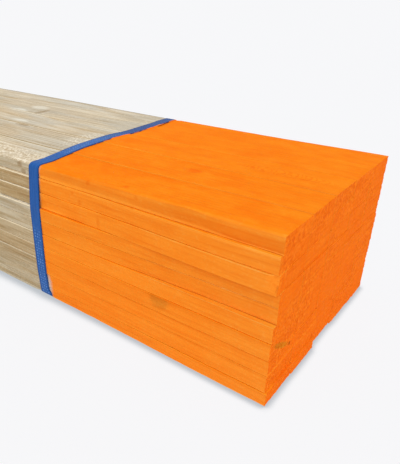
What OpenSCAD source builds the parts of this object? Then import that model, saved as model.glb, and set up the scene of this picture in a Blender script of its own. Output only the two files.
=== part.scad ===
// Bundle of survey lath: sawn softwood sticks stacked in layers and tied with two plastic straps.
// X runs along the laths with the painted end at +X, Y runs across the bundle, Z is up.
// The origin is on the floor under the middle of the bundle.

/* [Lath] */
// Width of a lath across its broad face
lath_w = 38.1; // [25:0.1:60]
// Thickness of a lath
lath_t = 12.7; // [8:0.1:20]
// Length that a lath is sold in
lath_len = 1219.2; // [900:0.1:1830]
// Flat worn onto each of the four long edges
edge_ease = 0.35; // [0.2:0.05:1.2]

/* [Bundle] */
// Laths side by side in a layer
laths_across = 5; // [3:1:8]
// Layers on top of one another
layer_count = 10; // [4:1:14]
// Narrowest gap between two laths of a layer
side_gap = 0.3; // [0.1:0.05:1]

/* [Sawing and stacking] */
// How far a lath's end stands in or out of the stack's end, at most
knock_most = 0.3; // [0:0.1:4]
// How far the painted end steps back from the bundle's -Y side to its +Y side
end_skew = -1; // [-6:0.1:6]
// How much thinner than its layer a lath is sawn, at most
thin_most = 0.1; // [0:0.05:0.6]
// How much narrower than its place a lath is sawn, at most
narrow_most = 0.1; // [0:0.05:0.8]

/* [Straps] */
// Width of the strap
strap_w = 12; // [9:0.1:19]
// Thickness of the strap
strap_t = 0.6; // [0.4:0.1:1.2]
// Clearance between a strap and the laths inside it
strap_clear = 0.1; // [0.05:0.05:0.3]
// Length over which the strap's two ends lie on each other and are welded
strap_lap = 40; // [20:1:60]
// Distance from the painted end to the middle of its strap
painted_strap_in = 227; // [150:1:300]
// Lean of the painted end's strap along the laths, in degrees
painted_strap_lean = 3.4; // [-5:0.1:5]
// Swing of the painted end's strap across the laths, in degrees
painted_strap_swing = 2; // [-3:0.1:3]
// Distance from the plain end to the middle of its strap
plain_strap_in = 230; // [150:1:300]
// Lean of the plain end's strap along the laths, in degrees
plain_strap_lean = -1.5; // [-5:0.1:5]
// Swing of the plain end's strap across the laths, in degrees
plain_strap_swing = 0.8; // [-3:0.1:3]

/* [Hidden] */
// How much thicker than a lath each layer came off the saw, from the bottom layer up
layer_over = [-2.2, 1.5, 0.3, 0.7, 0.2, -0.4, -1.6, 0.9, 0, 0.6];
// How far each layer slipped towards +Y, from the bottom layer up
layer_slip = [-1.3, -1.2, -2.4, -1.8, -2.2, -1.4, -1.9, 1.1, 1.1, 2.3];
// How far each layer is turned about Z in degrees, from the bottom layer up
layer_turn = [0.05, -0.04, 0.03, -0.05, 0.04, -0.03, 0.05, -0.05, 0.04, -0.03];
// How far each layer stands out at the painted end, from the bottom layer up
layer_knock = [0.7, 0.7, 0.9, 1, 1.1, 1.1, 1, 0.7, 0.4, 0.7];
// How far the laths of the bottom layer stand out from it, from the -Y side across
floor_knock = [0.8, 1, -1.1, -0.3, 0.7];
// Unevenness from lath to lath, as shares between -1 and 1
uneven = [0.3, 0.45, -0.9, -0.5, -0.4, 0.65, -0.3, -1, -0.6, -0.8, 0.2, -0.2, 0.5];
// Steps through the list of unevenness, so that ends, thicknesses and widths don't vary together
knock_step = 2;
thin_step = 3;
narrow_step = 5;

wood_colour = "burlywood";
strap_colour = "royalblue";

lath_pitch = lath_w + side_gap;
stack_floor = strap_t + strap_clear;
painted_strap_x = lath_len / 2 - painted_strap_in;
plain_strap_x = plain_strap_in - lath_len / 2;

function layer_name(i) = str("lath_layer_", i < 9 ? "0" : "", i + 1);

// A list is used again from its start where the bundle has more layers than it has entries
function entry(list, i) = list[i % len(list)];
function share(step, i, j) = entry(uneven, step * i + j);

function layer_t(i) = lath_t + entry(layer_over, i);
function layer_z(i) = i == 0 ? stack_floor : layer_z(i - 1) + layer_t(i - 1);
function layer_y(i, x) = entry(layer_slip, i) + x * tan(entry(layer_turn, i));
stack_top = layer_z(layer_count);
stack_w = laths_across * lath_pitch;

function layer_end(i, j) = entry(layer_knock, i) - end_skew * (j / (laths_across - 1) - 0.5);
function floor_end(i, j) = i == 0 ? entry(floor_knock, j) : 0;
function own_knock(i, j) = layer_end(i, j) + floor_end(i, j) + knock_most * share(knock_step, i, j);
function own_t(i, j) = layer_t(i) - thin_most * (1 + share(thin_step, i, j)) / 2;
function own_w(i, j) = lath_w - narrow_most * (1 + share(narrow_step, i, j)) / 2;
function lath_y(j) = (j - (laths_across - 1) / 2) * lath_pitch;

// Section of a lath, standing on its broad face, with its four edges eased
function lath_section(w, t) = [
    [edge_ease - w / 2, 0],
    [w / 2 - edge_ease, 0],
    [w / 2, edge_ease],
    [w / 2, t - edge_ease],
    [w / 2 - edge_ease, t],
    [edge_ease - w / 2, t],
    [-w / 2, t - edge_ease],
    [-w / 2, edge_ease]
];

// Convex outline round a set of points, found by walking round it with all points on the left
function side_of(a, b, p) = (b[0] - a[0]) * (p[1] - a[1]) - (b[1] - a[1]) * (p[0] - a[0]);
function outermost(a, points, k, best) =
    k == len(points) ? best
    : outermost(a, points, k + 1, best == a || side_of(a, best, points[k]) < 0 ? points[k] : best);
function walk_round(points, path) =
    let (next = outermost(path[len(path) - 1], points, 0, points[0]))
    next == path[0] ? path : walk_round(points, concat(path, [next]));

// The convex outline moved outwards by r, with its corners kept
function edge_out(path, k) =
    let (a = path[k % len(path)], b = path[(k + 1) % len(path)])
    [b[1] - a[1], a[0] - b[0]] / norm(b - a);
function grown(path, r) = [
    for (k = [0 : len(path) - 1])
        let (before = edge_out(path, k + len(path) - 1), after = edge_out(path, k))
        path[k] + r * (before + after) / (1 + before * after)
];

// Corners of every lath where a strap crosses the bundle, lowest layer first
function corners_at(x) = [
    for (i = [0 : layer_count - 1])
        for (j = [0 : laths_across - 1])
            for (p = lath_section(own_w(i, j), own_t(i, j)))
                p + [lath_y(j) + layer_y(i, x), layer_z(i)]
];
function wrapped_at(x) = let (points = corners_at(x)) walk_round(points, [points[0]]);

// Longest straight run on the +Y side of a strap, which takes the welded lap
function run_length(path, k) = norm(path[(k + 1) % len(path)] - path[k]);
function far_runs(path) = [for (k = [0 : len(path) - 1]) if (edge_out(path, k)[0] > 0.9) k];
function lap_run(path) =
    let (runs = far_runs(path), longest = max([for (k = runs) run_length(path, k)]))
    [for (k = runs) if (run_length(path, k) == longest) k][0];
// The outline with a second thickness of strap raised along the middle of that run
function raised(a, b, rise) =
    let (half = (b - a) / norm(b - a) * strap_lap / 2, middle = (a + b) / 2)
    [a, middle - half, middle - half + rise, middle + half + rise, middle + half];
function lapped(path) =
    let (lap = lap_run(path), rise = edge_out(path, lap) * strap_t)
    [
        for (k = [0 : len(path) - 1])
            each k == lap ? raised(path[k], path[(k + 1) % len(path)], rise) : [path[k]]
    ];

module lath(w, t) {
    rotate([90, 0, 90])
        linear_extrude(lath_len, center = true)
            polygon(lath_section(w, t));
}

module lath_layer(i) {
    color(wood_colour)
        translate([0, entry(layer_slip, i), layer_z(i)])
            rotate([0, 0, entry(layer_turn, i)])
                for (j = [0 : laths_across - 1])
                    translate([own_knock(i, j), lath_y(j), 0])
                        lath(own_w(i, j), own_t(i, j));
}

module strap_outline(x) {
    wrapped = wrapped_at(x);
    difference() {
        polygon(lapped(grown(wrapped, strap_clear + strap_t)));
        polygon(grown(wrapped, strap_clear));
    }
}

// A strap is a slanted slice of the sleeve that fits round the bundle where it crosses
module strap(x, lean, swing) {
    reach = norm([stack_w, stack_top]);
    sleeve_len = strap_w / cos(lean) / cos(swing) + reach * (abs(tan(lean)) + abs(tan(swing)));
    color(strap_colour)
        intersection() {
            translate([x, 0, 0])
                rotate([90, 0, 90])
                    linear_extrude(sleeve_len, center = true)
                        strap_outline(x);
            translate([x, 0, stack_top / 2])
                rotate([0, lean, swing])
                    cube([strap_w, 2 * reach, 2 * reach], center = true);
        }
}

module strap_painted_end() {
    strap(painted_strap_x, painted_strap_lean, painted_strap_swing);
}

module strap_plain_end() {
    strap(plain_strap_x, plain_strap_lean, plain_strap_swing);
}

for (i = [0 : layer_count - 1])
    lath_layer(i);
strap_painted_end();
strap_plain_end();
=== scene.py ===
"""Bundle of survey lath, dressed: sawn softwood laths with one end sprayed orange, tied by blue straps."""
import math
import random
from types import SimpleNamespace

import bmesh
import bpy
import numpy as np
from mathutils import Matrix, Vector, geometry


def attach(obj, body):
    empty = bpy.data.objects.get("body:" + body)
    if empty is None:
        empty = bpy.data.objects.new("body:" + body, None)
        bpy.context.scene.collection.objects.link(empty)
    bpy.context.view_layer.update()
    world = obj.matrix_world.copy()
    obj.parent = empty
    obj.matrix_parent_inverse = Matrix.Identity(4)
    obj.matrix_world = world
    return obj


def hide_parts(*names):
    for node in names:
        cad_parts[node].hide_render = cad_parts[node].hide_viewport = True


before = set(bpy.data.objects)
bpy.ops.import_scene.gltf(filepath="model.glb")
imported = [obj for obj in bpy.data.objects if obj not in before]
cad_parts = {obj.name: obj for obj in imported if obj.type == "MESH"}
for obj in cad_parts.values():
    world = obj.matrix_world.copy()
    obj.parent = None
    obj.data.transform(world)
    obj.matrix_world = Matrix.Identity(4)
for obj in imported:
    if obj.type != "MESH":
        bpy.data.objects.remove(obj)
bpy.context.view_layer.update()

MM = 0.001

# The bundle, as the frame has it
LAYERS = sorted(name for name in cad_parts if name.startswith("lath_layer_"))
STRAPS = ["strap_painted_end", "strap_plain_end"]
TOP = len(LAYERS) - 1
LATHS_ACROSS = 5
LATH_LEN = 1219.2 * MM
LATH_WIDE = 38.1 * MM
LATH_THICK = 12.7 * MM
PAINTED_END = LATH_LEN / 2
# Flat worn onto a lath's long edges, and the swelling that closes the gaps between neighbours
ARRIS = 0.35 * MM
SWELL = 0.28 * MM

# How finely a lath is cut up before it is worn: the end's grid, strips counted in it, and steps along
END_GRID = 1.27 * MM
FACE_STRIPS = (-14, -13, -9, -3, 3, 9, 13, 14)
SIDE_STRIPS = (-3, 0, 3)
FINE_FROM = 180 * MM
FINE_STEP = 2 * MM
PLAIN_STEP = 5 * MM
HIDDEN_STEP = 60 * MM

# A stretch is a pair: where a change begins, and where it is full

# How far the nearest laths run in towards the painted end, or out where negative, from the bottom up
NEAR_IN = [-1.8, -0.2, 0.3, 0.1, 0.5, 4.2, 3.7, -3.3, -3, -1]
NEAR_RUN = (192 * MM, 24 * MM)
# The layer whose nearest lath has a broken corner, the break's depth, and its stretch each way
CHIPPED = 7
CHIP_DEEP = 3 * MM
CHIP_ALONG = (7 * MM, 1 * MM)
CHIP_ACROSS = (-13 * MM, -19 * MM)
CHIP_UP = (-2 * MM, 1 * MM)
# How far the farthest laths stand out at the painted end, from the bottom up, and over which stretch
FAR_OUT = [-0.8, 0, 0, 0, 0, 0, 0, -0.25, 0.5, 0]
FAR_RUN = (60 * MM, 5 * MM)
# How low the top laths lie, from the near side across, and the farthest one's sag and where it does so
TOP_DOWN = [0.75, 0.4, 0, 0.05, 0.2]
TOP_SAG = 1 * MM
SAG_STARTS = (0, 120 * MM)
SAG_STOPS = (430 * MM, 230 * MM)
# How far the nearest top lath rolls and narrows behind the strap, and where it does so
NEAR_SAG = 2 * MM
NEAR_NARROW = 2.2 * MM
ROLL_STARTS = (50 * MM, 210 * MM)
ROLL_STOPS = (650 * MM, 430 * MM)
# Rounding of that lath's outer edge: how deep it goes, and how far onto its face and down its side
WANE = 1.1 * MM
WANE_WIDE = 3.4 * MM
WANE_HIGH = 4.5 * MM

# Wear: the spread along, across and up of hollows, chips and fuzz, and their depths
HOLLOWS = (160 * MM, 22 * MM, 22 * MM)
HOLLOW_DEEP = 0.2 * MM
CHIPS = (11 * MM, 5 * MM, 5 * MM)
EDGE_DEEP = 0.4 * MM
FUZZ = (2.2 * MM, 2.2 * MM, 2.2 * MM)
PAINTED_DEEP = 0.8 * MM
PLAIN_DEEP = 0.5 * MM
LATH_CREASE = math.radians(28)

# Greyness, dullness in the paint and painted highlight on the nearest laths' upper edge, from the bottom up
NEAR_GREY = [0.85, 0.7, 0.4, 0.3, 0.35, 0.85, 1, 0, 0.1, 0.9]
NEAR_DULL = [0.2, 0.1, 0, 0.1, 0.1, 0.3, 0.5, 0.1, 0.2, 0.9]
NEAR_LIP_HIGHLIGHT = [0, 0, 0.4, 0.4, 0.7, 0, 1, 0.8, 0.8, 0.3]
# The line their upper edge draws in the paint: painted highlight where positive, painted shade where
# negative
NEAR_EDGE_LIGHT = [-0.5, -1.1, -1, -1.5, -0.7, -1.2, -2, -0.4, 1, 0]
# Greyness of the top laths, from the near side across
TOP_GREY = [0.9, 0.65, 0.75, 0.9, 1]
# Where the pith of a lath's log may lie, in millimetres, and how many shifts of the figure there are
PITH_ASIDE = 60
PITH_OFF = (25, 70)
PITH_SHIFTS = 40

# Strapping
STRAP_WIDE = 12 * MM
STRAP_THICK = 0.6 * MM
STRAP_LAP = 40 * MM
LAP_FOOT = {"strap_painted_end": 37.7 * MM, "strap_plain_end": 43.1 * MM}
STRAP_BEND = 3.4 * MM
STRAP_STEP = 0.8 * MM
STRAP_ROWS = 18
STRAP_CREASE = math.radians(40)
# Steps over which the lapped end climbs onto the strap below it
LAP_CLIMB = 6
# The emboss, and the margin beside it that stays plain
EMBOSS_PITCH = 2.8 * MM
EMBOSS_DEEP = 0.09 * MM
EMBOSS_MARGIN = (0.7 * MM, 1.6 * MM)
# How far the painted end's strap slipped at its foot, and over which stretches across and up
FOOT_SLIP = 2.8 * MM
FOOT_ACROSS = (-60 * MM, -85 * MM)
FOOT_UP = (9 * MM, 4 * MM)
# How far it leans on its near side, at which share of its height it stays, and over which stretch
NEAR_DRIFT = 5.6 * MM
NEAR_STILL = 0.47
NEAR_ACROSS = (-78 * MM, -93 * MM)
# How far it swerves on the top, over which stretches by the near side, in the middle and by the far side
TOP_DRIFT = 2.3 * MM
TOP_ACROSS = ((-62 * MM, -38 * MM), (-2 * MM, 28 * MM), (86 * MM, 60 * MM))
TOP_UP = (110 * MM, 122 * MM)


# Selecting and editing

def only(piece):
    """Leaves one piece selected and active."""
    bpy.ops.object.select_all(action="DESELECT")
    piece.select_set(True)
    bpy.context.view_layer.objects.active = piece


def start_edit(piece):
    only(piece)
    bpy.ops.object.mode_set(mode="EDIT")
    bpy.ops.mesh.select_mode(type="FACE")


def end_edit():
    bpy.ops.object.mode_set(mode="OBJECT")


def pick(kind, test):
    """Selects the edges or faces that pass the test, in edit mode."""
    bpy.ops.mesh.select_all(action="DESELECT")
    bpy.ops.mesh.select_mode(type="EDGE" if kind == "edges" else "FACE")
    mesh = bmesh.from_edit_mesh(bpy.context.edit_object.data)
    for part in getattr(mesh, kind):
        if test(part):
            part.select_set(True)
    bmesh.update_edit_mesh(bpy.context.edit_object.data)


def cut(axis, at):
    """Cuts what is selected along a plane square to an axis."""
    normal = Vector((axis == 0, axis == 1, axis == 2))
    bpy.ops.mesh.bisect(plane_co=normal * at, plane_no=normal)


def cut_all(axis, cuts):
    """Cuts the whole piece along one plane after another."""
    for at in cuts:
        bpy.ops.mesh.select_all(action="SELECT")
        cut(axis, at)


def places(piece):
    """The piece's points, as an array."""
    flat = np.empty(3 * len(piece.data.vertices), np.float32)
    piece.data.vertices.foreach_get("co", flat)
    return flat.reshape(-1, 3).astype(float)


def put(piece, points):
    piece.data.vertices.foreach_set("co", np.ascontiguousarray(points, np.float32).ravel())
    piece.data.update()


def mark(piece, name, columns):
    """Gives a piece's points three values that its finish reads, each one number or a list of them."""
    attribute = piece.data.attributes.new(name, "FLOAT_VECTOR", "POINT")
    values = np.zeros((len(piece.data.vertices), 3), np.float32)
    for k, column in enumerate(columns):
        values[:, k] = column
    attribute.data.foreach_set("vector", values.ravel())


def smooth(value, low, high):
    """A share that rises softly from nothing at one value to one at the other."""
    share = np.clip((value - low) / (high - low), 0, 1)
    return share * share * (3 - 2 * share)


# Laths

def cuts_along(fine):
    """Where a lath is cut across: finely by the painted end if it shows, and hardly at all if it doesn't."""
    if not fine:
        return np.arange(HIDDEN_STEP - LATH_LEN / 2, LATH_LEN / 2 - HIDDEN_STEP / 2, HIDDEN_STEP)
    plain = np.arange(PLAIN_STEP - LATH_LEN / 2, FINE_FROM, PLAIN_STEP)
    close = np.arange(FINE_FROM + FINE_STEP, LATH_LEN / 2 - FINE_STEP / 2, FINE_STEP)
    return np.concatenate([plain, close])


def stock_lath(name, fine):
    """One lath of the nominal size, eased along its four edges and cut up ready to be worn."""
    bpy.ops.object.select_all(action="DESELECT")
    bpy.ops.mesh.primitive_cube_add(size=1)
    stock = bpy.context.object
    stock.name = name
    stock.scale = (LATH_LEN, LATH_WIDE, LATH_THICK)
    bpy.ops.object.transform_apply(location=False, rotation=False, scale=True)
    start_edit(stock)
    pick("edges", lambda e: abs(e.verts[0].co.x - e.verts[1].co.x) > LATH_LEN / 2)
    bpy.ops.mesh.bevel(offset=ARRIS, offset_type="WIDTH", segments=1, affect="EDGES")
    for axis, half in ((1, LATH_WIDE / 2), (2, LATH_THICK / 2)):
        steps = round(half / END_GRID)
        for k in range(1 - steps, steps):
            pick("faces", lambda f: abs(f.normal.x) > 0.9)
            cut(axis, k * END_GRID)
    cut_all(0, cuts_along(fine))
    if fine:
        cut_all(1, [k * END_GRID for k in FACE_STRIPS])
        cut_all(2, [k * END_GRID for k in SIDE_STRIPS])
    end_edit()
    group_points(stock)
    return stock


def group_points(stock):
    """Groups the points that wear moves together: each edge's two lines, and the two ends."""
    x, y, z = places(stock).T
    hair = 0.05 * MM
    eased = ARRIS + hair / 2
    on_side = np.abs(np.abs(y) - LATH_WIDE / 2) < hair
    on_face = np.abs(np.abs(z) - LATH_THICK / 2) < hair
    by_side = np.abs(y) > LATH_WIDE / 2 - eased
    by_face = np.abs(z) > LATH_THICK / 2 - eased
    groups = {
        "near_line": on_face & by_side & (y < 0),
        "far_line": on_face & by_side & (y > 0),
        "top_line": on_side & by_face & (z > 0),
        "foot_line": on_side & by_face & (z < 0),
        "painted_end": x > LATH_LEN / 2 - hair,
        "plain_end": x < hair - LATH_LEN / 2,
    }
    for name, members in groups.items():
        stock.vertex_groups.new(name=name).add(np.flatnonzero(members).tolist(), 1, "REPLACE")


def laths_in(node):
    """The frame's laths in a layer, from the near side across: the points of each."""
    mesh = bmesh.new()
    mesh.from_mesh(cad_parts[node].data)
    bmesh.ops.remove_doubles(mesh, verts=mesh.verts, dist=0.01 * MM)
    left = set(mesh.verts)
    found = []
    while left:
        reached = [left.pop()]
        for vertex in reached:
            for edge in vertex.link_edges:
                other = edge.other_vert(vertex)
                if other in left:
                    left.remove(other)
                    reached.append(other)
        found.append(np.array([v.co for v in reached]))
    mesh.free()
    return sorted(found, key=lambda points: points[:, 1].mean())


def seat_of(points):
    """Where a lath lies: its middle, its slope across the bundle and its size."""
    x, y, z = points.T
    start, end = y[x < 0], y[x > 0]
    middle = ((x.min() + x.max()) / 2, (start.mean() + end.mean()) / 2, (z.min() + z.max()) / 2)
    slope = (end.mean() - start.mean()) / (x.max() - x.min())
    return middle, slope, (x.max() - x.min(), start.max() - start.min(), z.max() - z.min())


def own_marks(layer, lath):
    """A lath's lightness, greyness and dullness, painted light and shade on its upper edge, bare and
    painted, and its log's pith.
    """
    draw = random.Random(100 * layer + lath)
    light, grey, dull, rim = (draw.random() for _ in range(4))
    line = 0
    if lath == 0:
        grey, dull, rim, line = NEAR_GREY[layer], NEAR_DULL[layer], NEAR_LIP_HIGHLIGHT[layer], NEAR_EDGE_LIGHT[layer]
    if layer == TOP:
        grey = TOP_GREY[lath]
    aside = draw.uniform(-PITH_ASIDE, PITH_ASIDE) * MM
    off = draw.choice((-1, 1)) * draw.uniform(*PITH_OFF) * MM
    return (light, grey, dull), rim, line, (aside, off, draw.uniform(0, PITH_SHIFTS))


def shape_near(points, seat, layer):
    """Runs the nearest lath's outer side in towards the painted end, and breaks one corner."""
    x, y, z = points.T
    from_end = PAINTED_END - x
    across = smooth(y - seat[1], LATH_WIDE / 2, -LATH_WIDE / 2)
    y += NEAR_IN[layer] * MM * smooth(from_end, *NEAR_RUN) * across
    if layer == CHIPPED:
        chip = smooth(from_end, *CHIP_ALONG) * smooth(z - seat[2], *CHIP_UP)
        y += CHIP_DEEP * chip * smooth(y - seat[1], *CHIP_ACROSS)


def rolled(x):
    """Share of the nearest top lath's roll: none at the painted end, most behind the strap."""
    from_end = PAINTED_END - x
    return smooth(from_end, *ROLL_STARTS) * smooth(from_end, *ROLL_STOPS)


def shape_top(points, seat, lath):
    """Lets a top lath's face lie as low as its own thickness leaves it, and the farthest one sag."""
    x, y, z = points.T
    from_end = PAINTED_END - x
    share = smooth(z - seat[2], -LATH_THICK / 2, LATH_THICK / 2)
    z -= TOP_DOWN[lath] * MM * share
    inwards = smooth(y - seat[1], -LATH_WIDE / 2, LATH_WIDE / 2)
    if lath == 0:
        z -= NEAR_SAG * share * rolled(x) * (1 - 0.9 * inwards)
        y -= NEAR_NARROW * rolled(x) * inwards
    if lath == 1:
        y -= NEAR_NARROW * rolled(x) * (1 - inwards)
    if lath == LATHS_ACROSS - 1:
        z -= TOP_SAG * share * smooth(from_end, *SAG_STARTS) * smooth(from_end, *SAG_STOPS)


def wane(local):
    """How far the nearest top lath's outer edge is rounded off, point by point."""
    x, y, z = local.T
    ripple = 1 + 0.3 * np.sin(x / (23 * MM)) + 0.2 * np.sin(x / (9 * MM) + 1)
    by_side = smooth(y, WANE_WIDE - LATH_WIDE / 2, -LATH_WIDE / 2)
    by_face = smooth(z, LATH_THICK / 2 - WANE_HIGH, LATH_THICK / 2)
    fading = smooth(PAINTED_END - x, 2 * MM, 40 * MM)
    return WANE * (0.3 + 0.7 * fading) * ripple * by_side * by_face


def one_lath(layer, lath, points, stock):
    """A copy of the stock lath, brought to its solid's size and place, shaped and marked."""
    middle, slope, size = seat_of(points)
    piece = stock.copy()
    piece.data = stock.data.copy()
    bpy.context.scene.collection.objects.link(piece)
    local = places(piece)
    own = local * ((np.array(size) + (0, SWELL, 0)) / (LATH_LEN, LATH_WIDE, LATH_THICK)) + middle
    own[:, 1] += slope * own[:, 0] + SWELL * (0.5 - lath / (LATHS_ACROSS - 1))
    if layer == TOP and lath == 0:
        own += wane(local)[:, None] * (0, 0.6, -1)
    if lath == 0:
        shape_near(own, middle, layer)
    if lath == LATHS_ACROSS - 1:
        own[:, 0] += FAR_OUT[layer] * MM * smooth(PAINTED_END - own[:, 0], *FAR_RUN)
    if layer == TOP:
        shape_top(own, middle, lath)
    put(piece, own)
    tone, rim, line, pith = own_marks(layer, lath)
    moved = NEAR_NARROW / 2 * rolled(own[:, 0]) * (layer == TOP and lath < 2)
    mark(piece, "lath_tone", tone)
    mark(piece, "lath_pith", pith)
    mark(piece, "lath_seat", (middle[1] - moved, slope, middle[2]))
    mark(piece, "lath_size", (size[1] / 2 + (moved if lath else -moved), size[2] / 2, rim))
    mark(piece, "lath_edge_light", (line, 0, 0))
    return piece


def wear(piece, name, stretch, depth, group="", direction="NORMAL", level=0.0):
    """Moves a piece's points by a cloud texture that is stretched along the grain."""
    texture = bpy.data.textures.new(name, "CLOUDS")
    texture.noise_scale = 1
    texture.noise_depth = 3
    texture.contrast = 1.5
    grid = bpy.data.objects.new(name, None)
    grid.scale = stretch
    bpy.context.scene.collection.objects.link(grid)
    bpy.context.view_layer.update()
    only(piece)
    move = piece.modifiers.new(name, "DISPLACE")
    move.texture = texture
    move.texture_coords = "OBJECT"
    move.texture_coords_object = grid
    move.direction = direction
    move.strength = depth
    move.mid_level = level
    move.vertex_group = group
    bpy.ops.object.modifier_apply(modifier=name)
    bpy.data.objects.remove(grid)


def lath_layer(layer, node, fine, rough):
    parts = []
    for lath, points in enumerate(laths_in(node)):
        shows = layer in (0, TOP) or lath in (0, LATHS_ACROSS - 1)
        parts.append(one_lath(layer, lath, points, fine if shows else rough))
    only(parts[0])
    for part in parts:
        part.select_set(True)
    bpy.ops.object.join()
    piece = bpy.context.object
    piece.name = piece.data.name = "laths_" + node[-2:]
    wear(piece, "hollows", HOLLOWS, HOLLOW_DEEP, level=1.0)
    for line, sign, axis in (("near", 1, "Y"), ("far", -1, "Y"), ("top", -1, "Z"), ("foot", 1, "Z")):
        wear(piece, line + "_chips", CHIPS, sign * EDGE_DEEP, line + "_line", axis)
    wear(piece, "painted_fuzz", FUZZ, -PAINTED_DEEP, "painted_end", "X")
    wear(piece, "plain_fuzz", FUZZ, PLAIN_DEEP, "plain_end", "X")
    only(piece)
    bpy.ops.object.shade_smooth_by_angle(angle=LATH_CREASE)
    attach(piece, "root")
    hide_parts(node)
    return piece


# Straps

def strap_plane(node):
    """The slanted plane that a strap lies in, as x = at + across * y + up * z."""
    points = np.array([v.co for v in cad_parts[node].data.vertices])
    sides = np.column_stack([np.ones(len(points)), points[:, 1], points[:, 2]])
    return np.linalg.lstsq(sides, points[:, 0], rcond=None)[0]


def off_plane(points, plane):
    return points[:, 0] - plane[0] - plane[1] * points[:, 1] - plane[2] * points[:, 2]


def wrapped_path(laths, plane):
    """The soft closed curve that a tight strap takes round the laths, in Y and Z."""
    under = []
    for piece in laths:
        points = places(piece)
        under += points[np.abs(off_plane(points, plane)) < STRAP_WIDE][:, 1:].tolist()
    corners = [Vector(under[k]) for k in geometry.convex_hull_2d(under)]
    centre = sum(corners, Vector((0, 0))) / len(corners)
    corners.sort(key=lambda p: math.atan2(p.y - centre.y, p.x - centre.x))
    dense = []
    for here, there in zip(corners, corners[1:] + corners[:1]):
        steps = max(1, round((there - here).length / (STRAP_STEP / 2)))
        dense += [here.lerp(there, k / steps) for k in range(steps)]
    outline = np.array(dense)
    reach = round(STRAP_BEND / (STRAP_STEP / 2))
    return sum(np.roll(outline, k, axis=0) for k in range(-reach, reach + 1)) / (2 * reach + 1)


def evenly(path, step):
    """The closed path again with evenly spaced points, and the outward direction at each."""
    closed = np.vstack([path, path[:1]])
    run = np.concatenate([[0], np.cumsum(np.linalg.norm(np.diff(closed, axis=0), axis=1))])
    count = round(run[-1] / step)
    at = np.arange(count) * run[-1] / count
    points = np.column_stack([np.interp(at, run, closed[:, k]) for k in (0, 1)])
    along = np.roll(points, -1, axis=0) - np.roll(points, 1, axis=0)
    along /= np.linalg.norm(along, axis=1)[:, None]
    return points, np.column_stack([along[:, 1], -along[:, 0]])


def press_under(laths, plane, path, outward):
    """Presses the wood in where the strap's soft bend would cut a corner."""
    for piece in laths:
        points = places(piece)
        off = np.abs(off_plane(points, plane))
        for k in np.flatnonzero(off < STRAP_WIDE):
            gaps = path - points[k, 1:]
            nearest = int(np.argmin((gaps ** 2).sum(1)))
            proud = -float(gaps[nearest] @ outward[nearest])
            if proud > 0:
                points[k, 1:] -= outward[nearest] * proud * min(1, 2 - 2 * off[k] / STRAP_WIDE)
        put(piece, points)


def wandered(across, y, z):
    """How far the painted end's strap has moved along the bundle from where it was drawn tight."""
    foot = smooth(z, *FOOT_UP) * smooth(y, *FOOT_ACROSS)
    slip = FOOT_SLIP * foot * smooth(across, -STRAP_WIDE / 2, STRAP_WIDE / 2)
    lean = NEAR_DRIFT * (NEAR_STILL - z / z.max()) * smooth(y, *NEAR_ACROSS)
    near, over, far = (smooth(y, *stretch) for stretch in TOP_ACROSS)
    swerve = over * far - (1 - over) * near
    return slip + lean + TOP_DRIFT * swerve * smooth(z, *TOP_UP)


def thicken(piece):
    """Turns a strap's faces outwards and gives them their thickness."""
    start_edit(piece)
    bpy.ops.mesh.select_all(action="SELECT")
    bpy.ops.mesh.normals_make_consistent(inside=False)
    end_edit()
    wall = piece.modifiers.new("thickness", "SOLIDIFY")
    wall.thickness = STRAP_THICK
    wall.offset = 1
    bpy.ops.object.modifier_apply(modifier="thickness")
    bpy.ops.object.shade_smooth_by_angle(angle=STRAP_CREASE)


def strap_piece(node, laths):
    plane = strap_plane(node)
    path, outward = evenly(wrapped_path(laths, plane), STRAP_STEP)
    press_under(laths, plane, path, outward)
    around = len(path)
    lap = round(STRAP_LAP / STRAP_STEP)
    first = int(np.argmin(np.abs(path[:, 1] - LAP_FOOT[node]) + (path[:, 0] < 0)))
    bpy.ops.object.select_all(action="DESELECT")
    bpy.ops.mesh.primitive_grid_add(x_subdivisions=around + lap, y_subdivisions=STRAP_ROWS, size=1)
    piece = bpy.context.object
    piece.name = piece.data.name = node + "_band"
    flat = places(piece)
    step = np.rint((flat[:, 0] + 0.5) * (around + lap)).astype(int)
    across = flat[:, 1] * STRAP_WIDE
    k = (first + step) % around
    run = step * STRAP_STEP
    beat = math.pi / EMBOSS_PITCH
    weave = np.cos(beat * (run + across)) * np.cos(beat * (run - across))
    inside = smooth(STRAP_WIDE / 2 - np.abs(across), *EMBOSS_MARGIN)
    climb = STRAP_THICK * np.clip((step - around + LAP_CLIMB) / LAP_CLIMB, 0, 1)
    rise = climb + EMBOSS_DEEP * (0.5 + 0.5 * weave) * inside
    y, z = (path[k] + outward[k] * rise[:, None]).T
    aside = across + (wandered(across, y, z) if node == STRAPS[0] else 0)
    put(piece, np.column_stack([plane[0] + plane[1] * y + plane[2] * z + aside, y, z]))
    mark(piece, "strap_run", (run, across, weave * inside))
    thicken(piece)
    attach(piece, "root")
    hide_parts(node)
    return piece


fine_stock, rough_stock = stock_lath("fine_lath", True), stock_lath("rough_lath", False)
laths = [lath_layer(k, node, fine_stock, rough_stock) for k, node in enumerate(LAYERS)]
straps = [strap_piece(node, laths) for node in STRAPS]
for stock in (fine_stock, rough_stock):
    bpy.data.objects.remove(stock)


# Finishes

def colour(red, green, blue):
    return (red, green, blue, 1)


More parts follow.
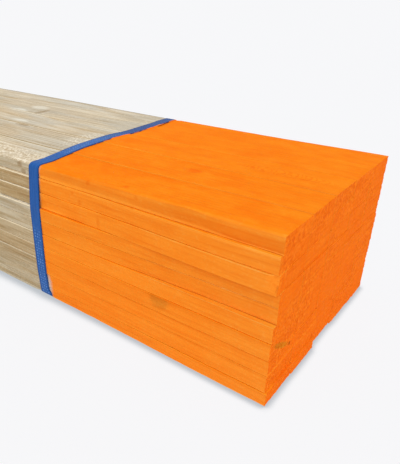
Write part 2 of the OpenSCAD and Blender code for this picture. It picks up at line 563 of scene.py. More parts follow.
class Wiring:
    """Adds shader nodes to a tree and joins them up."""

    def __init__(self, tree):
        self.tree = tree
        self.tree.nodes.clear()

    def plug(self, socket, value):
        if isinstance(value, bpy.types.NodeSocket):
            self.tree.links.new(value, socket)
        elif value is not None:
            socket.default_value = value

    def add(self, kind, settings=None, **inputs):
        node = self.tree.nodes.new("ShaderNode" + kind)
        for name, value in (settings or {}).items():
            setattr(node, name, value)
        for name, value in inputs.items():
            self.plug(node.inputs[name.replace("_", " ")], value)
        return node

    def attribute(self, name):
        return self.add("Attribute", {"attribute_name": name}).outputs["Vector"]

    def math(self, operation, a, b=None, c=None):
        node = self.add("Math", {"operation": operation})
        for socket, value in zip(node.inputs, (a, b, c)):
            self.plug(socket, value)
        return node.outputs[0]

    def product(self, first, *others):
        """All the values multiplied together."""
        for other in others:
            first = self.math("MULTIPLY", first, other)
        return first

    def rest(self, value):
        """What is left of one."""
        return self.math("SUBTRACT", 1.0, value)

    def in_mm(self, *lengths):
        """The lengths in millimetres."""
        return tuple(self.product(length, 1 / MM) for length in lengths)

    def vector(self, operation, a, b=None):
        node = self.add("VectorMath", {"operation": operation})
        self.plug(node.inputs[0], a)
        self.plug(node.inputs[1], b)
        return node.outputs["Value" if operation == "LENGTH" else "Vector"]

    def away(self, place, centre, halves):
        """Distance of a place from an oval's centre, as a share of the oval's half sizes."""
        shares = tuple(1 / half if half else 0 for half in halves)
        off = self.vector("SUBTRACT", place, centre)
        return self.vector("LENGTH", self.vector("MULTIPLY", off, shares))

    def ramp(self, value, low, high, to_low=0.0, to_high=1.0):
        node = self.add("MapRange", {"interpolation_type": "SMOOTHSTEP"})
        for socket, setting in zip(node.inputs, (value, low, high, to_low, to_high)):
            self.plug(socket, setting)
        return node.outputs[0]

    def fall(self, value, low, high):
        """A ramp from one down to nothing."""
        return self.ramp(value, low, high, 1.0, 0.0)

    def noise(self, vector, scale=1.0, detail=2.0, roughness=0.5):
        node = self.add("TexNoise", Vector=vector, Scale=scale, Detail=detail, Roughness=roughness)
        return node.outputs["Fac"]

    def blend(self, share, a, b, how="MIX"):
        node = self.add("Mix", {"data_type": "RGBA", "blend_type": how, "clamp_factor": True})
        self.plug(node.inputs["Factor"], share)
        self.plug(node.inputs[6], a)
        self.plug(node.inputs[7], b)
        return node.outputs[2]

    def tinted(self, base, *tints):
        """A colour multiplied by one tint after another, each by its own share."""
        for share, tint in tints:
            base = self.blend(share, base, colour(*tint), "MULTIPLY")
        return base

    def split(self, vector):
        return tuple(self.add("SeparateXYZ", Vector=vector).outputs)

    def combine(self, x, y, z):
        return self.add("CombineXYZ", X=x, Y=y, Z=z).outputs[0]

    def stretch(self, x, y, z, along, across):
        """The place with its coordinates scaled apart, along the grain and across it."""
        return self.combine(self.product(x, along), self.product(y, across), self.product(z, across))

    def group(self, tree, **inputs):
        node = self.add("Group", {"node_tree": tree})
        for name, value in inputs.items():
            self.plug(node.inputs[name], value)
        return node.outputs


def new_group(name, vectors, masks):
    """A shader node group from vectors to masks: its tree, wiring, inputs and outputs."""
    tree = bpy.data.node_groups.new(name, "ShaderNodeTree")
    for label in vectors:
        tree.interface.new_socket(label, in_out="INPUT", socket_type="NodeSocketVector")
    for label in masks:
        tree.interface.new_socket(label, in_out="OUTPUT", socket_type="NodeSocketFloat")
    wiring = Wiring(tree)
    taken = tree.nodes.new("NodeGroupInput").outputs
    given = tree.nodes.new("NodeGroupOutput").inputs
    return tree, wiring, taken, given


def new_finish(name):
    """A material and the wiring of its nodes."""
    finish = bpy.data.materials.new(name)
    finish.use_nodes = True
    return finish, Wiring(finish.node_tree)


def spot_of(w, place):
    """A place in millimetres: in from the painted end, across and up."""
    x, y, z = w.split(place)
    return w.in_mm(w.math("SUBTRACT", PAINTED_END, x), y, z)


WARM_WOOD = colour(0.66, 0.485, 0.28)
GREY_WOOD = colour(0.76, 0.665, 0.51)
SILVER_WOOD = colour(0.69, 0.65, 0.55)
PALE_WOOD = colour(0.86, 0.83, 0.72)
TORN_WOOD = colour(0.98, 0.9, 0.74)
BARE_WOOD = colour(0.53, 0.49, 0.46)
CREAM = colour(0.9, 0.78, 0.56)
# One orange spray in three copies: as lit on the top faces, and darker on the sides and sawn end as painted
# shade
LIT_TOP_ORANGE = colour(1, 0.25, 0.0063)
SHADED_SIDE_ORANGE = colour(0.9, 0.255, 0.018)
SHADED_END_ORANGE = colour(0.915, 0.179, 0.0056)
SPRAY_ORANGE = colour(0.98, 0.28, 0.015)
STRAP_BLUE = colour(0.014, 0.094, 0.34)
DRAWN_BLUE = colour(0.008, 0.069, 0.268)
RUBBED_BLUE = colour(0.12, 0.27, 0.62)

# Heights in millimetres at which the top layer starts, and from which a point is on its upper face
TOP_FOOT = 114
TOP_FACE = 123

# Growth rings and the saw's marks
RING_WIDE = 3.4 * MM
SAW_CLOSE = 2800
SAW_SLANT = 0.35
# Figures in the wood: how close they are along and across the grain, how detailed and how rough
FIGURES = {
    "Fibre": (22, 620, 3.0, 0.6),
    "Fuzz": (330, 480, 3.0, 0.65),
    "Grit": (420, 420, 2.0, 0.6),
    "Blotch": (14, 40, 3.0, 0.55),
    "Streak": (5, 260, 3.0, 0.6),
}

# Knots in millimetres: distance from the painted end, across, up, half length, half width and half height
KNOTS = [
    (160.7, -94, 122.8, 2.4, 6, 2.1),
    (170.3, -95, 104.9, 1.5, 6, 2.9),
    (150.3, -95, 94.2, 2, 6, 4.6),
    (177.7, -95, 111.1, 2.4, 6, 1.2),
    (112.6, -94, 122.5, 1.8, 6, 1.5),
    (126.5, -88.3, 127.2, 3.5, 3, 3),
    (106.5, -33, 127.4, 8, 4.8, 5),
    (241.5, -94, 121.5, 2.6, 6, 2.2),
    (237.5, -94, 116, 2.6, 6, 2),
    (364, 31, 127.4, 3, 10, 5),
    (332.4, -20, 127.4, 9, 2, 5),
]
# Knots by chance on the rest: how close they come and how small they are, along, across and up
KNOT_CLOSE = (3.2, 16, 30)
KNOT_SMALL = (120, 170, 150)
# Distance that keeps a knot out of every lath but its own
FAR_OFF = 9.0
# A knot sawn through to a half-moon, in the same measures, and the height of the joint that cuts it
HALF_MOON = (90.5, -97, 50.5, 11, 6, 10)
MOON_JOINT = 51.5
# A branch stub that shows on the sawn end: across, up, half length, half width and slant in degrees
STUB = (-81.2, 41.7, 15, 2.6, -28)
# Its dark heart: across, up and half width
STUB_HEART = (-66.5, 34.2, 1.8)
# Torn and pale patches on top, and arcs in the grain: distance from the end, across, half length and width
TORN = [(240, -22, 16, 30)]
PALE = [
    (384, 46, 17, 9),
    (396, 24, 18, 7),
    (350, -9, 16, 4),
]
ARCS = (48, 2, 48, 8)
# How far apart the arcs are
ARC_STEP = 5


def wood_figure():
    """Growth rings round a pith outside the lath, fibres along it, fuzz from the saw and slow blotches."""
    tree, w, taken, given = new_group(
        "wood_figure", ("Place", "Pith"), ("Latewood", *FIGURES, "Rough", "Saw")
    )
    x, y, z = w.split(taken["Place"])
    pith_y, pith_z, shift = w.split(taken["Pith"])
    along = w.math("ADD", x, shift)
    drift = w.noise(w.stretch(along, y, z, 2.2, 9))
    shake = w.noise(w.stretch(along, y, z, 14, 90))
    out = w.vector("LENGTH", w.combine(0.0, w.math("SUBTRACT", y, pith_y), w.math("SUBTRACT", z, pith_z)))
    out = w.math("MULTIPLY_ADD", drift, 30 * MM, out)
    out = w.math("MULTIPLY_ADD", shake, 2.5 * MM, out)
    year = w.math("FRACT", w.math("DIVIDE", out, RING_WIDE))
    w.plug(given["Latewood"], w.product(w.ramp(year, 0.35, 0.88), w.fall(year, 0.9, 1.0)))
    for name, (lengthwise, crosswise, detail, roughness) in FIGURES.items():
        spread = w.stretch(along, y, z, lengthwise, crosswise)
        w.plug(given[name], w.noise(spread, detail=detail, roughness=roughness))
    w.plug(given["Rough"], w.noise(w.vector("MULTIPLY", taken["Place"], (0, 28, 28))))
    stroke = w.math("MULTIPLY_ADD", z, SAW_SLANT, along)
    saw = w.math("SINE", w.math("MULTIPLY_ADD", stroke, SAW_CLOSE, w.product(shake, 9)))
    w.plug(given["Saw"], w.math("MULTIPLY_ADD", saw, 0.5, 0.5))
    return tree


def face_kind():
    """Which face a point is on, and how near it is to the lath's edges."""
    tree, w, taken, given = new_group(
        "face_kind",
        ("Place", "Normal", "Seat", "Size"),
        ("End", "Side", "Inset", "Across", "Flank", "Level", "Below", "Above", "Ledge"),
    )
    x, y, z = w.split(taken["Place"])
    facing_x, facing_y, facing_z = w.split(taken["Normal"])
    seat_y, slope, seat_z = w.split(taken["Seat"])
    half_wide, half_thick = w.split(taken["Size"])[:2]
    own_y = w.math("SUBTRACT", y, w.math("MULTIPLY_ADD", x, slope, seat_y))
    own_z = w.math("SUBTRACT", z, seat_z)
    from_side = w.math("SUBTRACT", half_wide, w.math("ABSOLUTE", own_y))
    from_face = w.math("SUBTRACT", half_thick, w.math("ABSOLUTE", own_z))
    end = w.ramp(w.math("ABSOLUTE", facing_x), 0.6, 0.8)
    side = w.ramp(w.math("ABSOLUTE", facing_y), 0.35, 0.9)
    inset = w.math("MULTIPLY_ADD", side, w.math("SUBTRACT", from_face, from_side), from_side)
    nearest = w.math("MINIMUM", from_side, from_face)
    covered = w.math("LESS_THAN", seat_z, (TOP_FOOT + 1) * MM)
    lengths = {
        "Inset": w.math("MULTIPLY_ADD", end, w.math("SUBTRACT", nearest, inset), inset),
        "Across": own_y,
        "Flank": from_side,
        "Level": from_face,
        "Below": w.math("SUBTRACT", half_thick, own_z),
        "Above": w.math("ADD", half_thick, own_z),
    }
    for name, length in zip(lengths, w.in_mm(*lengths.values())):
        w.plug(given[name], length)
    w.plug(given["End"], end)
    w.plug(given["Side"], side)
    w.plug(given["Ledge"], w.product(covered, w.ramp(facing_z, 0.4, 0.8)))
    return tree


def knots_of_wood():
    """Knots, each in one lath: the ones seen near the painted end, and others by chance along the rest."""
    tree, w, taken, given = new_group("knots_of_wood", ("Place", "Seat", "Size"), ("Heart", "Rim"))
    place = taken["Place"]
    seat_y, _, seat_z = w.split(taken["Seat"])
    half_wide, half_thick = w.split(taken["Size"])[:2]
    reach_y = w.math("ADD", half_wide, 3 * MM)
    parts = spot_of(w, place)
    spot = w.combine(*parts)
    cells = w.add("TexVoronoi", Vector=w.vector("MULTIPLY", place, KNOT_CLOSE), Scale=1.0)
    middle = w.vector("MULTIPLY", cells.outputs["Position"], tuple(1 / close for close in KNOT_CLOSE))
    chance = w.vector("LENGTH", w.vector("MULTIPLY", w.vector("SUBTRACT", place, middle), KNOT_SMALL))
    nearest = w.math("ADD", chance, w.ramp(parts[0], 480, 450, 0.0, FAR_OFF))
    for from_end, across, up, *halves in KNOTS:
        off_y = w.math("ABSOLUTE", w.math("SUBTRACT", seat_y, across * MM))
        off_z = w.math("ABSOLUTE", w.math("SUBTRACT", seat_z, up * MM))
        beside = w.math("GREATER_THAN", off_y, reach_y)
        over = w.math("GREATER_THAN", off_z, half_thick)
        elsewhere = w.product(w.math("MAXIMUM", beside, over), FAR_OFF)
        away = w.math("ADD", elsewhere, w.away(spot, (from_end, across, up), halves))
        nearest = w.math("MINIMUM", nearest, away)
    ragged = w.math("MULTIPLY_ADD", w.noise(place, 300), 0.9, -0.45)
    nearest = w.math("ADD", nearest, ragged)
    w.plug(given["Heart"], w.fall(nearest, 0.5, 1.05))
    w.plug(given["Rim"], w.product(w.ramp(nearest, 0.6, 0.95), w.fall(nearest, 1.0, 1.5)))
    return tree


def stub_on_end():
    """The branch stub on the sawn end: its pale slanting streak and its dark heart."""
    tree, w, taken, given = new_group("stub_on_end", ("Place",), ("Streak", "Heart"))
    _, y, z = spot_of(w, taken["Place"])
    across, up, long, wide, slant = STUB
    lean, level = math.sin(math.radians(slant)), math.cos(math.radians(slant))
    off_y = w.math("SUBTRACT", y, across)
    off_z = w.math("SUBTRACT", z, up)
    run = w.math("MULTIPLY_ADD", off_y, level, w.product(off_z, lean))
    rise = w.math("MULTIPLY_ADD", off_z, level, w.product(off_y, -lean))
    away = w.away(w.combine(run, rise, 0.0), (0, 0, 0), (long, wide, 0))
    away = w.math("ADD", away, w.math("MULTIPLY_ADD", w.noise(taken["Place"], 400), 0.8, -0.4))
    w.plug(given["Streak"], w.fall(away, 0.6, 1.1))
    across, up, wide = STUB_HEART
    away = w.away(w.combine(y, z, 0.0), (across, up, 0), (wide, wide, 0))
    w.plug(given["Heart"], w.fall(away, 0.5, 1.0))
    return tree


def paint_cover(plane):
    """Where the orange reaches: from the strap to the end, but for a bare patch by the strap's foot."""
    tree, w, taken, given = new_group("paint_cover", ("Place",), ("Paint", "Bare"))
    x, y, z = w.in_mm(*w.split(taken["Place"]))
    at, across, up = (float(part) for part in plane)
    past = w.math("SUBTRACT", x, at / MM)
    past = w.math("MULTIPLY_ADD", y, -across, past)
    past = w.math("MULTIPLY_ADD", z, -up, past)
    ragged = w.noise(taken["Place"], 180, 3.0)
    past = w.math("ADD", past, w.math("MULTIPLY_ADD", ragged, 5, -2.5))
    bare = w.product(w.ramp(z, 16, 34, 11, 3), w.ramp(y, -90, -92))
    by_foot = w.ramp(bare, 1, 3)
    thin = w.product(w.fall(w.math("SUBTRACT", past, bare), -3, 3), by_foot)
    w.plug(given["Paint"], w.product(w.ramp(past, -0.6, 0.6), w.rest(thin)))
    w.plug(given["Bare"], w.product(w.ramp(past, 2, 5), by_foot))
    return tree


def patches(w, at, spots):
    """Soft ovals at the given spots of the top faces."""
    found = 0.0
    for from_end, across, long, wide in spots:
        away = w.away(at.spot, (from_end, across, 0), (long, wide, 0))
        found = w.math("MAXIMUM", w.fall(away, 0.4, 1.1), found)
    return found


def frayed(w, at, inset, fray, full, wide):
    """A strip along an edge, full so far in and then fading out, with a margin that fuzz frays."""
    return w.fall(w.math("MULTIPLY_ADD", at.fuzz, fray, inset), full, full + wide)


def lit_lip(w, at, fray):
    """A thin painted highlight along a side's upper edge, a little lower on the lath whose edge line is
    lightest.
    """
    below = w.math("MULTIPLY_ADD", at.light_line, -1, at.below)
    strip = frayed(w, at, below, fray, 0.9 * fray, 0.8)
    return w.product(strip, w.ramp(below, -0.6, 0.0), at.side)


def wood_grain(w, at):
    """The bare wood's colour: warm or greyed, silvery in places, grain and saw marks, sides darker as
    painted shade.
    """
    silver = w.ramp(w.noise(w.vector("MULTIPLY", at.place, (9, 30, 30)), 1.0, 3.0), 0.44, 0.6)
    raw = w.blend(at.grey, WARM_WOOD, GREY_WOOD)
    raw = w.blend(w.product(silver, at.flat, 0.65), raw, SILVER_WOOD)
    raw = w.tinted(
        raw,
        (w.product(at.latewood, 0.55), (0.84, 0.75, 0.62)),
        (w.ramp(at.fibre, 0.42, 0.62), (0.81, 0.77, 0.71)),
        (w.ramp(at.streak, 0.5, 0.64, 0.0, 0.65), (0.82, 0.73, 0.6)),
        (w.ramp(at.blotch, 0.45, 0.62, 0.0, 0.5), (0.9, 0.92, 0.97)),
        (w.ramp(at.light, 0.0, 1.0, 0.4, 0.0), (0.85, 0.85, 0.85)),
        # Side faces darker, as painted shade
        (at.side, (0.75, 0.745, 0.7)),
        (w.product(at.side, at.dull), (0.9, 0.88, 0.87)),
        (w.product(at.side, at.saw, 0.35), (0.88, 0.87, 0.85)),
        (at.end, (0.8, 0.72, 0.6)),
    )
    nap = w.product(w.ramp(at.fuzz, 0.54, 0.68, 0.0, 0.4), w.ramp(at.side, 0.0, 1.0, 1.0, 0.35))
    return w.blend(nap, raw, CREAM)


def torn_wood(w, at, raw):
    """Pale patches on the top faces, and flecks where the saw tore them."""
    pale = w.product(patches(w, at, PALE), w.ramp(at.fibre, 0.36, 0.6, 0.2, 0.8), at.flat)
    raw = w.blend(pale, raw, PALE_WOOD)
    flecks = w.noise(w.vector("MULTIPLY", at.place, (1, 0.6, 1)), 620)
    by_edge = w.ramp(at.y, -62, -80)
    torn = w.product(w.math("MAXIMUM", patches(w, at, TORN), by_edge), at.flat, 0.65)
    raw = w.blend(w.product(torn, w.ramp(flecks, 0.5, 0.6)), raw, TORN_WOOD)
    return w.tinted(raw, (w.product(torn, w.ramp(flecks, 0.46, 0.38)), (0.9, 0.88, 0.84)))


def worn_edges(w, at, raw):
    """Cream where the laths' edges are worn, dark along joints, painted highlight on upper side edges,
    darker far top edge.
    """
    worn = w.product(frayed(w, at, at.inset, 1.4, 1.4, 1), at.flat)
    raw = w.blend(w.product(worn, w.ramp(at.across, -1, 1, 0.3, 0.85)), raw, CREAM)
    dark = w.product(frayed(w, at, at.inset, 0.6, 0.6, 0.4), at.flat)
    dark = w.product(dark, w.ramp(at.across, -1, 1, 0.9, 0.2))
    sawn = w.product(w.ramp(at.inset, 0.2, 0.8, 0.7, 0.0), at.end)
    raw = w.tinted(raw, (w.math("MAXIMUM", dark, sawn), (0.62, 0.52, 0.4)))
    # Cream painted highlight along the sides' upper edges
    raw = w.blend(w.product(lit_lip(w, at, 1), at.rim), raw, CREAM)
    # Darker along the far top edge
    far_edge = w.product(w.ramp(at.y, 94.5, 96.5), at.flat, 0.8)
    return w.tinted(raw, (far_edge, (0.5, 0.5, 0.55)))


def raw_wood(w, at):
    """Colour of the bare wood, down to its knots."""
    raw = worn_edges(w, at, torn_wood(w, at, wood_grain(w, at)))
    return w.tinted(
        raw,
        (w.product(at.knot["Rim"], 0.6), (0.7, 0.58, 0.45)),
        (w.product(at.knot["Heart"], 0.7), (0.62, 0.5, 0.38)),
    )


def arcs_in_grain(w, at):
    """Scalloped marks where a plain-sawn face was torn along its crown."""
    from_end, across, long, wide = ARCS
    x = w.math("SUBTRACT", from_end, at.from_end)
    y = w.math("SUBTRACT", at.y, across)
    bow = w.product(y, y, 0.6 / wide)
    wobble = w.product(w.noise(at.place, 150), 14)
    bent = w.math("ADD", w.math("ADD", x, bow), wobble)
    beat = w.math("SINE", w.product(bent, 2 * math.pi / ARC_STEP))
    away = w.away(at.spot, (from_end, across, 0), (long, wide, 0))
    return w.product(w.ramp(beat, 0.0, 0.9), w.fall(away, 0.6, 1.0))


def half_moon(w, at):
    """The sawn knot that shows on one lath's side, cut straight by the joint above it."""
    away = w.away(at.spot, HALF_MOON[:3], HALF_MOON[3:])
    away = w.math("MULTIPLY_ADD", w.noise(at.place, 260), 0.8, w.math("SUBTRACT", away, 0.4))
    return w.product(w.fall(away, 0.55, 1.05), w.ramp(at.z, MOON_JOINT + 0.4, MOON_JOINT))


def paint_grain(w, at):
    """The spray's colour on each face, lit on top and darker as painted shade on sides and end, with grain,
    blotches and greyer patches.
    """
    # Lit on top, darker on the sides and the end as painted shade
    coat = w.blend(at.side, LIT_TOP_ORANGE, SHADED_SIDE_ORANGE)
    coat = w.tinted(coat, (w.ramp(at.from_end, 60, 8), (1.0, 1.05, 1.25)))
    coat = w.blend(at.end, coat, SHADED_END_ORANGE)
    calm = w.ramp(at.upright, 0.0, 1.0, 0.58, 0.25)
    lines = w.ramp(at.side, 0.0, 1.0, 0.35, 1.0)
    mottle = w.noise(w.vector("MULTIPLY", at.place, (55, 95, 95)), 1.0, 3.0, 0.6)
    patchy = w.ramp(at.blotch, 0.36, 0.56, 0.45, 1.0)
    return w.tinted(
        coat,
        (w.product(w.ramp(at.blotch, 0.44, 0.62), calm), (0.985, 0.8, 0.55)),
        (w.product(at.latewood, 0.4, lines), (0.97, 0.87, 0.7)),
        (w.product(w.ramp(at.fibre, 0.44, 0.62, 0.0, 0.8), lines), (0.95, 0.87, 0.8)),
        (w.product(w.ramp(at.streak, 0.48, 0.64, 0.0, 0.7), lines), (0.95, 0.88, 0.8)),
        (w.product(w.ramp(mottle, 0.46, 0.6), calm), (0.99, 0.86, 0.65)),
        (w.product(w.ramp(mottle, 0.46, 0.36), calm), (1.0, 1.08, 1.4)),
        (w.ramp(at.fuzz, 0.52, 0.68, 0.0, 0.8), (1.0, 1.13, 1.6)),
        # Greyer and darker in patches on the sides of the duller laths
        (w.product(at.dull, at.side, patchy), (0.9, 0.96, 1.12)),
    )


def paint_on_end(w, at, coat):
    """Painted shade in pits, painted highlights on knobs and seams, and fine layers in the spray on the sawn
    end.
    """
    coarse = w.product(w.ramp(at.rough, 0.4, 0.6, 0.25, 1.0), at.end)
    lit_seam = w.product(w.fall(at.level, 0.3, 1.3), at.end)
    strata = w.noise(w.vector("MULTIPLY", at.place, (0, 22, 420)), 1.0, 3.0, 0.6)
    lit_low_seam = w.product(w.ramp(at.z, 22.5, 24.5), w.ramp(at.z, 28, 26.2))
    return w.tinted(
        coat,
        # Pits darker and knobs lighter, as painted shade and painted highlight
        (w.product(w.ramp(at.grit, 0.5, 0.64), coarse), (0.89, 0.78, 0.55)),
        (w.product(w.ramp(at.grit, 0.46, 0.36), coarse), (1.06, 1.26, 2.4)),
        # Painted highlights on the seams between layers
        (w.product(lit_seam, w.ramp(at.rough, 0.4, 0.55, 0.1, 0.8)), (1.05, 1.22, 1.4)),
        (w.product(w.ramp(strata, 0.5, 0.62), at.end), (0.965, 0.92, 0.88)),
        (w.product(w.ramp(strata, 0.46, 0.36), at.end), (1.02, 1.07, 1.15)),
        (w.product(lit_low_seam, w.ramp(at.y, -10, -40), at.end), (1.05, 1.2, 1.4)),
    )


def paint_on_ledges(w, at, coat):
    """Painted light and shade on ledges where a lath stands out under the next, and along the upper edges.
    """
    by_side = w.ramp(at.y, -82, -88)
    plain = w.product(at.ledge, w.rest(at.light_line), by_side, 0.9)
    by_end = w.product(w.ramp(at.from_end, 130, 90), w.ramp(at.z, 55, 62))
    edge_shade = w.math("MAXIMUM", w.product(at.line, -1.0), 0.0)
    reach = w.math("MULTIPLY_ADD", edge_shade, 1.3, 0.3)
    shaded_crease = w.product(w.fall(at.below, 0.3, reach), w.math("MINIMUM", edge_shade, 1.0))
    shaded_crease = w.product(shaded_crease, w.ramp(at.blotch, 0.4, 0.55, 0.4, 1.0), at.side)
    shaded_crease = w.product(shaded_crease, w.ramp(at.from_end, 190, 110, 0.15, 1.0))
    return w.tinted(
        coat,
        # Ledges away from the near side darker, as painted shade
        (w.product(at.ledge, w.rest(by_side)), (0.88, 0.88, 1.3)),
        # Ledges by the near side lighter as painted light, most of all near the painted end
        (plain, (0.93, 1.2, 1.6)),
        (w.product(plain, by_end), (0.97, 1.27, 2.8)),
        # Painted highlight on ledges and lips under a light edge line
        (w.product(at.ledge, at.light_line), (0.95, 1.42, 2.6)),
        (w.product(lit_lip(w, at, 0.6), at.light_line), (1.08, 1.26, 1.7)),
        # Painted shade in the crease under a dark edge line
        (shaded_crease, (0.9, 0.77, 0.55)),
    )


def paint_on_edges(w, at, coat):
    """Painted shade and light on the nearest top lath's side and edge, and painted light in the joints the
    spray bridges.
    """
    upmost = w.product(w.ramp(at.z, TOP_FOOT, TOP_FOOT + 1), w.ramp(at.y, -80, -85), at.side)
    # Painted shade over the lower part of the top lath's side, lightened by painted light at its toe
    lit_toe_high = w.ramp(at.from_end, 60, 30, 4, 1.6)
    lit_toe = w.fall(at.above, w.product(lit_toe_high, 0.4), lit_toe_high)
    under = w.product(w.ramp(at.above, 10, 7), w.rest(lit_toe))
    under = w.product(under, w.ramp(at.from_end, 130, 25, 0.3, 1.0))
    # Painted light over a joint's crevice by the strap
    lit_tuck = w.product(w.ramp(at.z, 91.5, 89.5), w.ramp(at.z, 87.4, 88))
    lit_tuck = w.product(lit_tuck, w.ramp(at.from_end, 182, 200), at.side)
    on_top = w.ramp(at.z, TOP_FACE, TOP_FACE + 2)
    # Painted highlight along the top lath's near edge
    arris_highlight = w.product(w.fall(at.flank, 0.8, 2.4), w.ramp(at.y, -85, -88), on_top)
    arris_highlight = w.product(arris_highlight, w.ramp(at.side, 0.6, 0.2), w.ramp(at.from_end, 110, 70))
    # Painted light in the joints, end seams and lath feet where the spray bridges them, against the shade in
    # the gaps
    joint = w.product(w.fall(at.flank, 0.4, 1.1), on_top, at.bridged)
    joint = w.product(joint, w.fall(w.math("ABSOLUTE", at.y), 88, 92))
    split = w.product(w.ramp(at.flank, 0.1, 0.7, 0.5, 0.0), at.end)
    foot = w.product(w.fall(at.above, 0.2, 1.6), at.side, at.bridged)
    return w.tinted(
        coat,
        (w.product(under, upmost), (0.94, 0.74, 0.5)),
        (w.product(lit_toe, upmost), (1.1, 1.22, 1.4)),
        (lit_tuck, (1.15, 1.3, 1.5)),
        (arris_highlight, (1.0, 1.13, 2.0)),
        (w.math("MAXIMUM", joint, split), (1.0, 1.25, 1.5)),
        (foot, (1.06, 1.35, 1.7)),
    )


def orange_paint(w, at):
    """Colour of the sprayed end, down to the knots and torn grain that show through it."""
    coat = paint_on_end(w, at, paint_grain(w, at))
    coat = paint_on_edges(w, at, paint_on_ledges(w, at, coat))
    return w.tinted(
        coat,
        (w.product(at.knot["Heart"], at.side, 0.85), (0.93, 0.8, 0.62)),
        (w.product(at.knot["Heart"], at.flat), (0.985, 0.72, 0.5)),
        (w.product(at.knot["Rim"], 0.25), (0.95, 0.85, 0.7)),
        (w.product(half_moon(w, at), at.side), (0.8, 0.86, 0.95)),
        (w.product(arcs_in_grain(w, at), at.flat), (0.97, 0.79, 0.58)),
        (w.product(at.stub["Streak"], at.end), (0.74, 1.06, 1.1)),
        (w.product(at.stub["Heart"], at.end), (0.45, 0.45, 0.6)),
    )


def lath_finish(plane):
    """Sawn softwood, greyed a little, with orange spray over its end."""
    finish, w = new_finish("sawn_lath")
    texture = w.add("TexCoord")
    place = texture.outputs["Object"]
    tone, pith, seat, size, line = (
        w.attribute(name) for name in ("lath_tone", "lath_pith", "lath_seat", "lath_size", "lath_edge_light")
    )
    wood = w.group(wood_figure(), Place=place, Pith=pith)
    face = w.group(face_kind(), Place=place, Normal=texture.outputs["Normal"], Seat=seat, Size=size)
    cover = w.group(paint_cover(plane), Place=place)
    # What the colours need to know of a point, with its lengths in millimetres
    at = SimpleNamespace(place=place)
    for name, socket in (*wood.items(), *face.items()):
        setattr(at, name.lower(), socket)
    at.from_end, at.y, at.z = spot_of(w, place)
    at.spot = w.combine(at.from_end, at.y, at.z)
    at.light, at.grey, at.dull = w.split(tone)
    at.rim = w.split(size)[2]
    at.line = w.split(line)[0]
    # Painted highlight of the edge line, where it is positive
    at.light_line = w.math("MAXIMUM", at.line, 0.0)
    at.knot = w.group(knots_of_wood(), Place=place, Seat=seat, Size=size)
    at.stub = w.group(stub_on_end(), Place=place)
    at.upright = w.math("MAXIMUM", at.side, at.end)
    at.flat = w.rest(at.upright)
    # Where the spray bridges the joints, which then get painted light against the shade in their gaps
    by_strap = w.ramp(at.from_end, 190, 30, 0.9, 0.25)
    at.bridged = w.math("MAXIMUM", by_strap, w.fall(at.z, 14, 20))
    raw = w.blend(w.product(cover["Bare"], 0.9), raw_wood(w, at), BARE_WOOD)
    coat = orange_paint(w, at)
    relief = w.math("MULTIPLY_ADD", at.fibre, 0.5, w.product(at.fuzz, 0.8))
    relief = w.math("MULTIPLY_ADD", at.latewood, 0.2, relief)
    coarse = w.product(w.ramp(at.rough, 0.4, 0.6, -0.4, -1.8), at.end)
    relief = w.math("MULTIPLY_ADD", at.grit, coarse, relief)
    bump = w.add("Bump", Strength=0.9, Distance=0.5 * MM, Height=relief)
    shader = w.add(
        "BsdfPrincipled",
        Base_Color=w.blend(cover["Paint"], raw, coat),
        Roughness=w.ramp(cover["Paint"], 0.0, 1.0, 0.9, 0.75),
        Specular_IOR_Level=0.02,
        Normal=bump.outputs[0],
    )
    w.add("OutputMaterial", Surface=shader.outputs[0])
    return finish


def strap_finish():
    """Blue polypropylene band with a satin shine, paler where its embossed ridges are rubbed, painted light
    and shade on top.
    """
    finish, w = new_finish("blue_strapping")
    place = w.add("TexCoord").outputs["Object"]
    from_end, y, z = spot_of(w, place)
    run, across, weave = w.split(w.attribute("strap_run"))
    pressed = w.math("MAXIMUM", w.ramp(y, -68, -58), w.fall(z, 62, 72))
    upper = w.ramp(z, 122, 126)
    scuff = w.noise(place, 420, 3.0, 0.6)
    drawn = w.noise(w.combine(w.product(run, 40), w.product(across, 900), 0.0))
    blue = w.blend(w.ramp(drawn, 0.4, 0.62, 0.0, 0.7), STRAP_BLUE, DRAWN_BLUE)
    rubbed = w.product(w.ramp(weave, 0.0, 0.6), w.ramp(scuff, 0.4, 0.52), pressed, 0.85)
    blue = w.blend(rubbed, blue, RUBBED_BLUE)
    edge = w.ramp(w.math("ABSOLUTE", across), 0.42 * STRAP_WIDE, 0.48 * STRAP_WIDE)
    blue = w.tinted(
        blue,
        (w.product(edge, 0.9), (0.5, 0.55, 0.6)),
        # Lighter on the near half of the top and darker on its far half: painted light and painted shade
        (w.product(upper, w.fall(y, -20, 0)), (1.2, 1.25, 1.25)),
        (w.product(upper, w.ramp(y, 0, 30)), (0.55, 0.64, 0.76)),
    )
    drift = w.math("MULTIPLY_ADD", w.noise(place, 90, 3.0), 5 * MM, w.math("SUBTRACT", across, 2.5 * MM))
    drift = w.math("ADD", drift, w.ramp(y, -60, 20, -3.6 * MM, -2.2 * MM))
    spray = w.product(w.ramp(drift, 0.26 * STRAP_WIDE, 0.32 * STRAP_WIDE), upper)
    blue = w.blend(w.product(spray, w.ramp(from_end, 400, 300)), blue, SPRAY_ORANGE)
    ribs = w.math("SINE", w.product(across, 2 * math.pi / (1.5 * MM)))
    ribs = w.product(ribs, w.rest(pressed), 0.35)
    bump = w.add("Bump", Strength=0.4, Distance=0.15 * MM, Height=w.math("ADD", scuff, ribs))
    shader = w.add(
        "BsdfPrincipled",
        Base_Color=blue,
        Roughness=w.ramp(scuff, 0.3, 0.7, 0.36, 0.52),
        Specular_IOR_Level=0.12,
        Normal=bump.outputs[0],
    )
    w.add("OutputMaterial", Surface=shader.outputs[0])
    return finish


def dress(pieces, finish):
    for piece in pieces:
        piece.data.materials.clear()
        piece.data.materials.append(finish)


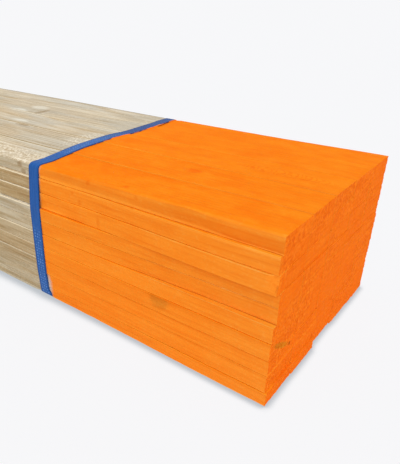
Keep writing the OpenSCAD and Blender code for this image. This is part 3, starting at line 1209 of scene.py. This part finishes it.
dress(laths, lath_finish(strap_plane(STRAPS[0])))
dress(straps, strap_finish())


# Stage

IMAGE_HIGH = 464
IMAGE_WIDE = 400
FOCAL_PIXELS = 487.6
MIDDLE_PIXEL = (168.7, 247.4)
SENSOR = 36
CAMERA_FROM_END = Vector((97.4, -329.2, 248)) * MM
CAMERA_DOWN = 27.53
CAMERA_TURN = 37.62

FLOOR_SIZE = 80
FLOOR_MATT = colour(0.86, 0.865, 0.875)
FLOOR_PALE = colour(0.933, 0.935, 0.951)
FLOOR_SHADE = colour(0.52, 0.55, 0.585)
BACKDROP = colour(0.93, 0.93, 0.945)
SKY = colour(1, 1, 1)
SKY_STRENGTH = 0.75
KEY_ENERGY = 1.4
KEY_SPREAD = 50
KEY_TILT = 52
KEY_TURN = 40


def place_camera():
    lens = bpy.data.cameras.new("camera")
    camera = bpy.data.objects.new("camera", lens)
    bpy.context.scene.collection.objects.link(camera)
    camera.location = CAMERA_FROM_END + Vector((PAINTED_END, 0, 0))
    camera.rotation_euler = (math.radians(90 - CAMERA_DOWN), 0, math.radians(CAMERA_TURN))
    lens.sensor_width = SENSOR
    lens.lens = SENSOR * FOCAL_PIXELS / IMAGE_HIGH
    lens.shift_x = (IMAGE_WIDE / 2 - MIDDLE_PIXEL[0]) / IMAGE_HIGH
    lens.shift_y = (MIDDLE_PIXEL[1] - IMAGE_HIGH / 2) / IMAGE_HIGH
    lens.clip_start = 0.01
    bpy.context.scene.camera = camera


def mixed(w, share, plain, seen):
    """One shader, and another where the share says."""
    mix = w.add("MixShader", Fac=share)
    w.plug(mix.inputs[1], plain.outputs[0])
    w.plug(mix.inputs[2], seen.outputs[0])
    return mix.outputs[0]


def floor_finish():
    """Matt floor that looks as pale as the backdrop, down to a soft narrow shadow where the bundle lies."""
    finish, w = new_finish("pale_floor")
    path = w.add("LightPath").outputs
    seen = w.product(w.math("MAXIMUM", path["Is Camera Ray"], path["Is Glossy Ray"]), 0.95)
    from_end = spot_of(w, w.add("TexCoord").outputs["Object"])[0]
    reach = w.ramp(from_end, 380, 0, 15 * MM, 7 * MM)
    open_sky = w.add("AmbientOcclusion", {"samples": 16}, Distance=reach).outputs["AO"]
    matt = w.add("BsdfDiffuse", Color=FLOOR_MATT)
    glow = w.add("Emission", Color=w.blend(w.ramp(open_sky, 0.5, 1.0), FLOOR_SHADE, FLOOR_PALE))
    w.add("OutputMaterial", Surface=mixed(w, seen, matt, glow))
    return finish


def lay_floor():
    bpy.ops.object.select_all(action="DESELECT")
    bpy.ops.mesh.primitive_plane_add(size=FLOOR_SIZE)
    floor = bpy.context.object
    floor.name = "floor"
    floor.data.materials.append(floor_finish())


def light_scene():
    world = bpy.data.worlds.new("studio")
    bpy.context.scene.world = world
    world.use_nodes = True
    w = Wiring(world.node_tree)
    sky = w.add("Background", Color=SKY, Strength=SKY_STRENGTH)
    backdrop = w.add("Background", Color=BACKDROP)
    in_view = w.add("LightPath").outputs["Is Camera Ray"]
    w.add("OutputWorld", Surface=mixed(w, in_view, sky, backdrop))
    lamp = bpy.data.lights.new("soft_key", "SUN")
    lamp.energy = KEY_ENERGY
    lamp.angle = math.radians(KEY_SPREAD)
    key = bpy.data.objects.new("soft_key", lamp)
    key.rotation_euler = (math.radians(KEY_TILT), 0, math.radians(KEY_TURN))
    bpy.context.scene.collection.objects.link(key)


place_camera()
lay_floor()
light_scene()
bpy.context.scene.view_settings.view_transform = "Standard"
